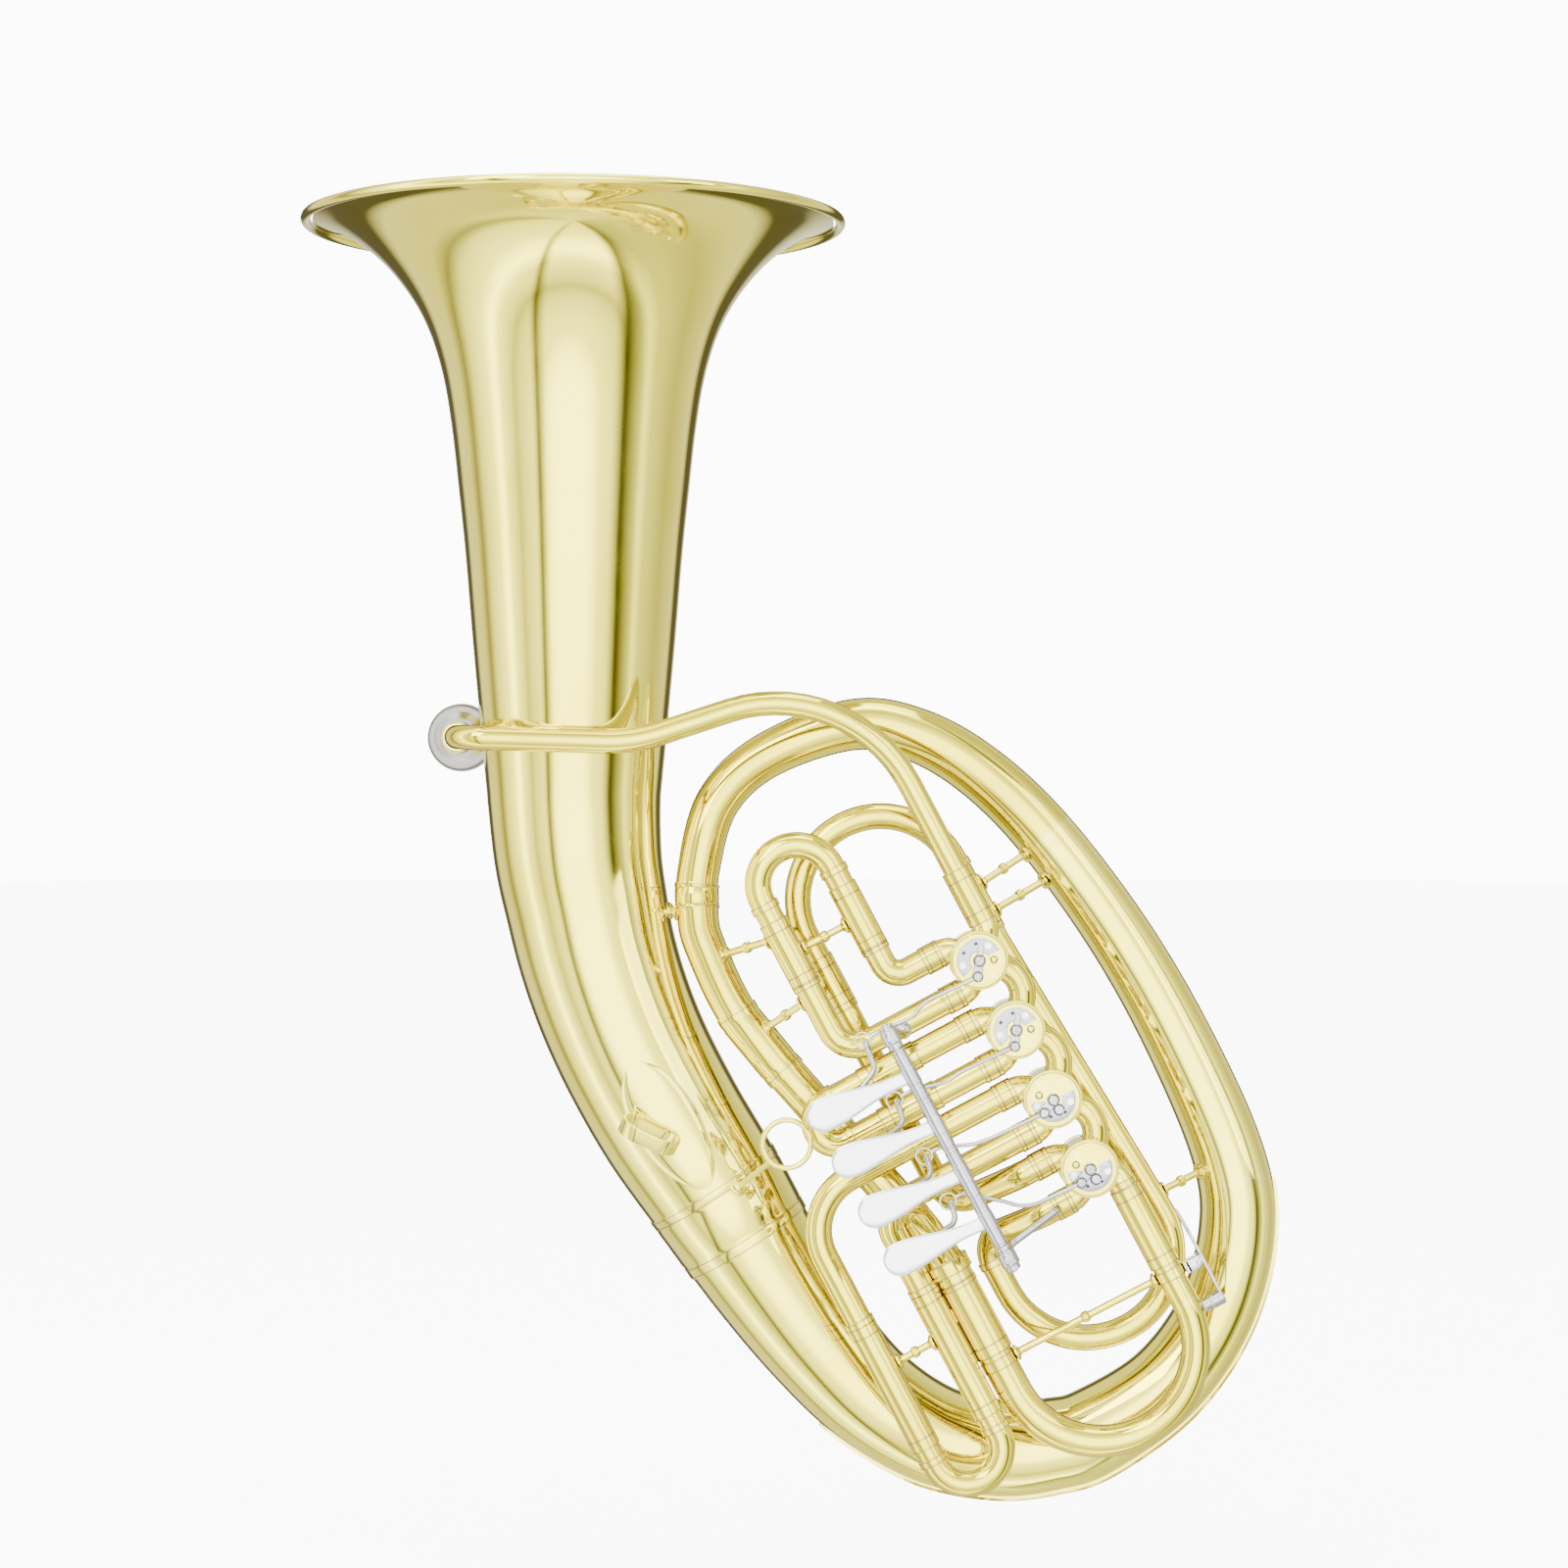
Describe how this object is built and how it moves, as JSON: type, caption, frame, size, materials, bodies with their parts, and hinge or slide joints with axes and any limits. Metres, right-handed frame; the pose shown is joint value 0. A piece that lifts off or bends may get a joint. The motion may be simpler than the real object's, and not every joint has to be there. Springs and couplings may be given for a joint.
{
  "type": "oval rotary-valve baritone tuba",
  "caption": "Upright oval tuba-family brass instrument with a flared bell, coiled conical bore, rotary valves worked by finger levers, tuning slides and a mouthpiece.",
  "frame": {"origin": "centre of the plane of the bell's rim", "axes": "+Z out of the bell along its axis, -Y towards the side that the levers are on, +X towards the valves and branches"},
  "size_m": [0.5036, 0.28, 0.6606],
  "materials": {
    "lacquered_brass": "polished and clear-lacquered",
    "nickel_silver": "polished nickel silver",
    "silver_plate": "bright silver plate",
    "cork": "dark synthetic cork"
  },
  "bodies": {
    "root": {"bell_flare": "lacquered_brass", "bell_rim": "lacquered_brass", "bell_tail": "lacquered_brass", "bell_ferrule": "lacquered_brass", "bottom_bow": "lacquered_brass", "bow_guard": "lacquered_brass", "side_branch": "lacquered_brass", "top_bow": "lacquered_brass", "left_branch": "lacquered_brass", "branch_ferrules": "lacquered_brass", "leadpipe": "lacquered_brass", "mouthpiece_receiver": "lacquered_brass", "valve_casing_1": "lacquered_brass", "valve_casing_2": "lacquered_brass", "valve_casing_3": "lacquered_brass", "valve_casing_4": "lacquered_brass", "bearing_plate_1": "lacquered_brass", "bearing_plate_2": "lacquered_brass", "bearing_plate_3": "lacquered_brass", "bearing_plate_4": "lacquered_brass", "rear_caps": "lacquered_brass", "stop_plates": "nickel_silver", "stop_corks": "cork", "valve_knuckles": "lacquered_brass", "slide_1_tubes": "lacquered_brass", "slide_2_tubes": "lacquered_brass", "slide_3_tubes": "lacquered_brass", "slide_4_tubes": "lacquered_brass", "main_slide_sleeves": "lacquered_brass", "lever_shaft": "nickel_silver", "lever_posts": "nickel_silver", "braces": "lacquered_brass", "thumb_ring": "lacquered_brass", "strap_plate": "lacquered_brass", "strap_loop": "lacquered_brass"},
    "rotor_1_body": {"rotor_1": "lacquered_brass", "stop_arm_1": "nickel_silver"},
    "link_1_body": {"link_rod_1": "nickel_silver"},
    "lever_1_body": {"lever_1": "nickel_silver"},
    "rotor_2_body": {"rotor_2": "lacquered_brass", "stop_arm_2": "nickel_silver"},
    "link_2_body": {"link_rod_2": "nickel_silver"},
    "lever_2_body": {"lever_2": "nickel_silver"},
    "rotor_3_body": {"rotor_3": "lacquered_brass", "stop_arm_3": "nickel_silver"},
    "link_3_body": {"link_rod_3": "nickel_silver"},
    "lever_3_body": {"lever_3": "nickel_silver"},
    "rotor_4_body": {"rotor_4": "lacquered_brass", "stop_arm_4": "nickel_silver"},
    "link_4_body": {"link_rod_4": "nickel_silver"},
    "lever_4_body": {"lever_4": "nickel_silver"},
    "slide_1_body": {"slide_1_crook": "lacquered_brass"},
    "slide_2_body": {"slide_2_crook": "lacquered_brass"},
    "slide_3_body": {"slide_3_crook": "lacquered_brass"},
    "slide_4_body": {"slide_4_crook": "lacquered_brass"},
    "main_slide_body": {"main_slide_legs": "lacquered_brass", "main_slide_bow": "lacquered_brass", "water_key_saddle": "nickel_silver"},
    "water_key_body": {"water_key": "nickel_silver"},
    "mouthpiece_body": {"mouthpiece": "silver_plate"}
  },
  "joints": [
    {"name": "lever_1_press", "type": "hinge", "parent": "root", "child": "lever_1_body", "pos_m": [0.17055, -0.09, -0.43405], "axis": [0.4695, 0, -0.8829], "range_deg": [0, 24.5], "stiffness_Nm_per_rad": 0.12, "springref_deg": -20.05},
    {"name": "rotor_1_turn", "type": "hinge", "parent": "root", "child": "rotor_1_body", "pos_m": [0.2055, -0.044, -0.379], "axis": [0, -1, 0], "range_deg": [0, 90.2]},
    {"name": "link_1_swing", "type": "hinge", "parent": "rotor_1_body", "child": "link_1_body", "pos_m": [0.20454, -0.066, -0.38684], "axis": [0, -1, 0], "range_deg": [-88.58, 0]},
    {"name": "lever_2_press", "type": "hinge", "parent": "root", "child": "lever_2_body", "pos_m": [0.18346, -0.09, -0.45833], "axis": [0.4695, 0, -0.8829], "range_deg": [0, 24.5], "stiffness_Nm_per_rad": 0.12, "springref_deg": -20.05},
    {"name": "rotor_2_turn", "type": "hinge", "parent": "root", "child": "rotor_2_body", "pos_m": [0.2239, -0.044, -0.41361], "axis": [0, -1, 0], "range_deg": [0, 90.2]},
    {"name": "link_2_swing", "type": "hinge", "parent": "rotor_2_body", "child": "link_2_body", "pos_m": [0.22294, -0.066, -0.42145], "axis": [0, -1, 0], "range_deg": [-88.58, 0]},
    {"name": "lever_3_press", "type": "hinge", "parent": "root", "child": "lever_3_body", "pos_m": [0.19609, -0.09, -0.48208], "axis": [0.4695, 0, -0.8829], "range_deg": [0, 24.5], "stiffness_Nm_per_rad": 0.12, "springref_deg": -20.05},
    {"name": "rotor_3_turn", "type": "hinge", "parent": "root", "child": "rotor_3_body", "pos_m": [0.24231, -0.044, -0.44822], "axis": [0, -1, 0], "range_deg": [0, 90.2]},
    {"name": "link_3_swing", "type": "hinge", "parent": "rotor_3_body", "child": "link_3_body", "pos_m": [0.23755, -0.066, -0.45453], "axis": [0, -1, 0], "range_deg": [-93.84, 0]},
    {"name": "lever_4_press", "type": "hinge", "parent": "root", "child": "lever_4_body", "pos_m": [0.20839, -0.09, -0.50522], "axis": [0.4695, 0, -0.8829], "range_deg": [0, 24.5], "stiffness_Nm_per_rad": 0.12, "springref_deg": -20.05},
    {"name": "rotor_4_turn", "type": "hinge", "parent": "root", "child": "rotor_4_body", "pos_m": [0.26071, -0.044, -0.48284], "axis": [0, -1, 0], "range_deg": [0, 90.2]},
    {"name": "link_4_swing", "type": "hinge", "parent": "rotor_4_body", "child": "link_4_body", "pos_m": [0.25596, -0.066, -0.48914], "axis": [0, -1, 0], "range_deg": [-93.57, 0]},
    {"name": "slide_1_pull", "type": "slide", "parent": "root", "child": "slide_1_body", "axis": [-0.4695, 0, 0.8829], "range_m": [0, 0.02]},
    {"name": "slide_2_pull", "type": "slide", "parent": "root", "child": "slide_2_body", "axis": [-0.8829, 0, -0.4695], "range_m": [0, 0.02]},
    {"name": "slide_3_pull", "type": "slide", "parent": "root", "child": "slide_3_body", "axis": [0.4695, 0, -0.8829], "range_m": [0, 0.05]},
    {"name": "slide_4_pull", "type": "slide", "parent": "root", "child": "slide_4_body", "axis": [-0.4695, 0, 0.8829], "range_m": [0, 0.015]},
    {"name": "main_slide_pull", "type": "slide", "parent": "root", "child": "main_slide_body", "axis": [0.4695, 0, -0.8829], "range_m": [0, 0.03]},
    {"name": "mouthpiece_pull", "type": "slide", "parent": "root", "child": "mouthpiece_body", "axis": [-0.0593, 0.9982, 0.0099], "range_m": [0, 0.03]},
    {"name": "water_key_press", "type": "hinge", "parent": "main_slide_body", "child": "water_key_body", "pos_m": [0.31666, -0.044, -0.53055], "axis": [0, -1, 0], "range_deg": [0, 14], "stiffness_Nm_per_rad": 0.02, "springref_deg": -17.19}
  ],
  "couplings": [
    {"joint": "rotor_1_turn", "follows": "lever_1_press", "ratio": 3.6735},
    {"joint": "link_1_swing", "follows": "lever_1_press", "ratio": -3.6033},
    {"joint": "rotor_2_turn", "follows": "lever_2_press", "ratio": 3.6735},
    {"joint": "link_2_swing", "follows": "lever_2_press", "ratio": -3.6033},
    {"joint": "rotor_3_turn", "follows": "lever_3_press", "ratio": 3.6735},
    {"joint": "link_3_swing", "follows": "lever_3_press", "ratio": -3.818},
    {"joint": "rotor_4_turn", "follows": "lever_4_press", "ratio": 3.6735},
    {"joint": "link_4_swing", "follows": "lever_4_press", "ratio": -3.8069}
  ]
}
